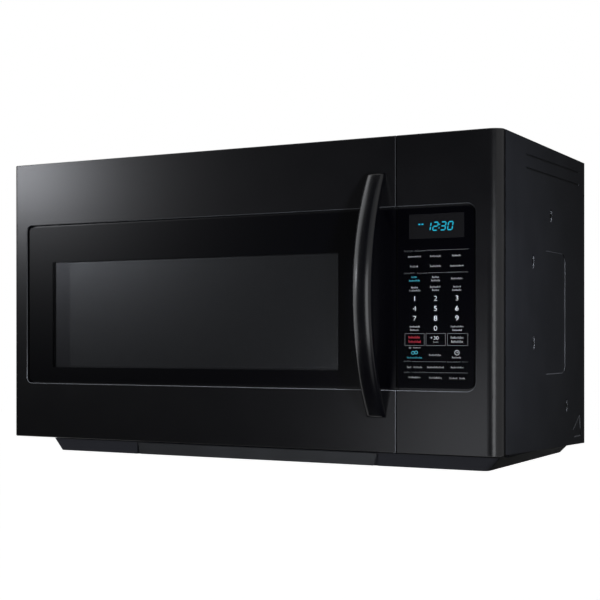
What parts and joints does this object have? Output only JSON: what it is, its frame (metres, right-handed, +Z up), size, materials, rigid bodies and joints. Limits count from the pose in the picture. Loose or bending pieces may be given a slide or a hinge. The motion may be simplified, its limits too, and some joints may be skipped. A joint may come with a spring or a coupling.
{
  "type": "over-the-range microwave oven",
  "caption": "Black over-the-range microwave oven with bowed door handle, glass control panel and a hood with vent, lamps and grease filters underneath.",
  "frame": {"origin": "on the wall face, mid width, level with the door's lower edge and the wall-plate slots", "axes": "+X to the right seen from the front, +Y into the wall, +Z up; the door faces -Y"},
  "size_m": [0.759, 0.4168, 0.4204],
  "materials": {
    "case_paint": "satin black paint",
    "galvanised": "dull galvanised sheet",
    "pan_paint": "satin black paint",
    "strip_plastic": "satin black",
    "grille_plastic": "satin black",
    "charcoal": "carbon felt",
    "gland_rubber": "matt",
    "screw_steel": "blackened",
    "cavity_enamel": "pale grey baked paint",
    "mica": "pearly mica sheet",
    "magnetron_alloy": "plain",
    "core_iron": "varnished laminations",
    "winding_wire": "enamelled wire",
    "can_aluminium": "drawn can",
    "board_green": "solder mask",
    "cutout_bakelite": "moulded",
    "duct_plastic": "moulded",
    "motor_steel": "plain",
    "fan_plastic": "moulded",
    "ceramic": "glazed",
    "bulb_glass": "clear",
    "turntable_plastic": "heat-proof moulding",
    "tray_glass": "clear",
    "blower_alloy": "die cast shell",
    "shaft_steel": "ground",
    "wheel_alloy": "plain",
    "filter_alloy": "expanded mesh",
    "lens_glass": "ribbed",
    "latch_plastic": "moulded",
    "switch_plastic": "moulded",
    "plunger_plastic": "moulded",
    "front_gloss": "high gloss black",
    "front_glass": "black printed border, tinted window",
    "display_glass": "black printed, tinted display",
    "display_plastic": "moulded",
    "hinge_steel": "plated",
    "screen_paint": "baked black paint",
    "cover_plastic": "satin",
    "pane_glass": "clear",
    "handle_gloss": "high gloss black",
    "spring_steel": "bright wire"
  },
  "bodies": {
    "oven": {"outer_case": "case_paint", "rear_plate": "galvanised", "base_pan": "pan_paint", "base_front_strip": "strip_plastic", "vent_grille": "grille_plastic", "charcoal_filter": "charcoal", "cable_grommet": "gland_rubber", "case_screws": "screw_steel", "oven_cavity": "cavity_enamel", "waveguide_cover": "mica", "waveguide": "galvanised", "magnetron": "magnetron_alloy", "transformer_core": "core_iron", "transformer_windings": "winding_wire", "capacitor": "can_aluminium", "noise_filter_board": "board_green", "thermal_cutouts": "cutout_bakelite", "fan_shroud": "duct_plastic", "cooling_fan_motor": "motor_steel", "lamp_sockets": "ceramic", "lamp_bulbs": "bulb_glass", "turntable_motor": "motor_steel", "blower_housing": "duct_plastic", "blower_motor": "blower_alloy", "latch_body": "latch_plastic", "interlock_switches": "switch_plastic", "control_frame": "front_gloss", "control_glass": "display_glass", "display_module": "display_plastic", "control_board": "board_green", "hinge_upper": "hinge_steel", "hinge_lower": "hinge_steel"},
    "door": {"door_frame": "front_gloss", "door_glass": "front_glass", "door_choke_plate": "screen_paint", "door_inner_pane": "pane_glass", "door_choke_cover": "cover_plastic", "door_handle": "handle_gloss", "handle_screws": "screw_steel"},
    "latch": {"door_latch": "latch_plastic", "latch_spring": "spring_steel"},
    "turntable_drive": {"turntable_coupler": "turntable_plastic"},
    "support_ring": {"roller_ring": "turntable_plastic"},
    "ring_roller_1": {"roller_1": "turntable_plastic"},
    "ring_roller_2": {"roller_2": "turntable_plastic"},
    "ring_roller_3": {"roller_3": "turntable_plastic"},
    "tray": {"glass_tray": "tray_glass"},
    "cooling_fan": {"cooling_fan_blade": "fan_plastic"},
    "hood_blower": {"blower_shaft": "shaft_steel", "blower_wheel_left": "wheel_alloy", "blower_wheel_right": "wheel_alloy"},
    "filter_left": {"grease_filter_left": "filter_alloy"},
    "filter_right": {"grease_filter_right": "filter_alloy"},
    "cover_left": {"lamp_cover_left": "lens_glass"},
    "cover_right": {"lamp_cover_right": "lens_glass"},
    "plunger_lower": {"switch_plunger_lower": "plunger_plastic"},
    "plunger_middle": {"switch_plunger_middle": "plunger_plastic"},
    "plunger_upper": {"switch_plunger_upper": "plunger_plastic"}
  },
  "joints": [
    {"name": "door_swing", "type": "hinge", "parent": "oven", "child": "door", "pos_m": [-0.3745, -0.3598, 0.2], "axis": [0, 0, -1], "range_deg": [0, 110]},
    {"name": "latch_lift", "type": "slide", "parent": "door", "child": "latch", "axis": [0, 0, 1], "range_m": [0, 0.004], "stiffness_N_per_m": 400, "springref_m": -0.005, "deforming": ["latch_spring"]},
    {"name": "turntable_spin", "type": "hinge", "parent": "oven", "child": "turntable_drive", "pos_m": [-0.072, -0.176, 0.058], "axis": [0, 0, 1], "continuous": true},
    {"name": "ring_turn", "type": "hinge", "parent": "oven", "child": "support_ring", "pos_m": [-0.072, -0.176, 0.058], "axis": [0, 0, 1], "continuous": true},
    {"name": "tray_lift", "type": "slide", "parent": "turntable_drive", "child": "tray", "axis": [0, 0, 1], "range_m": [0, 0.05]},
    {"name": "cooling_fan_spin", "type": "hinge", "parent": "oven", "child": "cooling_fan", "pos_m": [0.305, -0.05, 0.25], "axis": [0, -1, 0], "continuous": true},
    {"name": "hood_blower_spin", "type": "hinge", "parent": "oven", "child": "hood_blower", "pos_m": [0, -0.07, 0.35], "axis": [1, 0, 0], "continuous": true},
    {"name": "roller_1_spin", "type": "hinge", "parent": "support_ring", "child": "ring_roller_1", "pos_m": [-0.072, -0.066, 0.0656], "axis": [0, 1, 0], "continuous": true},
    {"name": "roller_2_spin", "type": "hinge", "parent": "support_ring", "child": "ring_roller_2", "pos_m": [-0.16726, -0.231, 0.0656], "axis": [-0.866, -0.5, 0], "continuous": true},
    {"name": "roller_3_spin", "type": "hinge", "parent": "support_ring", "child": "ring_roller_3", "pos_m": [0.02326, -0.231, 0.0656], "axis": [0.866, -0.5, 0], "continuous": true},
    {"name": "filter_left_drop", "type": "slide", "parent": "oven", "child": "filter_left", "axis": [0, 0, -1], "range_m": [0, 0.05]},
    {"name": "cover_left_open", "type": "hinge", "parent": "oven", "child": "cover_left", "pos_m": [-0.15, -0.2752, -0.0138], "axis": [1, 0, 0], "range_deg": [0, 80]},
    {"name": "filter_right_drop", "type": "slide", "parent": "oven", "child": "filter_right", "axis": [0, 0, -1], "range_m": [0, 0.05]},
    {"name": "cover_right_open", "type": "hinge", "parent": "oven", "child": "cover_right", "pos_m": [0.15, -0.2752, -0.0138], "axis": [1, 0, 0], "range_deg": [0, 80]},
    {"name": "plunger_lower_press", "type": "slide", "parent": "oven", "child": "plunger_lower", "axis": [0, 1, 0], "range_m": [0, 0.0015], "stiffness_N_per_m": 300, "springref_m": -0.002},
    {"name": "plunger_middle_press", "type": "slide", "parent": "oven", "child": "plunger_middle", "axis": [0, 1, 0], "range_m": [0, 0.0015], "stiffness_N_per_m": 300, "springref_m": -0.002},
    {"name": "plunger_upper_press", "type": "slide", "parent": "oven", "child": "plunger_upper", "axis": [0, 1, 0], "range_m": [0, 0.0015], "stiffness_N_per_m": 300, "springref_m": -0.002}
  ],
  "couplings": [
    {"joint": "ring_turn", "follows": "turntable_spin", "ratio": 0.5},
    {"joint": "roller_1_spin", "follows": "turntable_spin", "ratio": -7.3333},
    {"joint": "roller_2_spin", "follows": "turntable_spin", "ratio": -7.3333},
    {"joint": "roller_3_spin", "follows": "turntable_spin", "ratio": -7.3333}
  ]
}
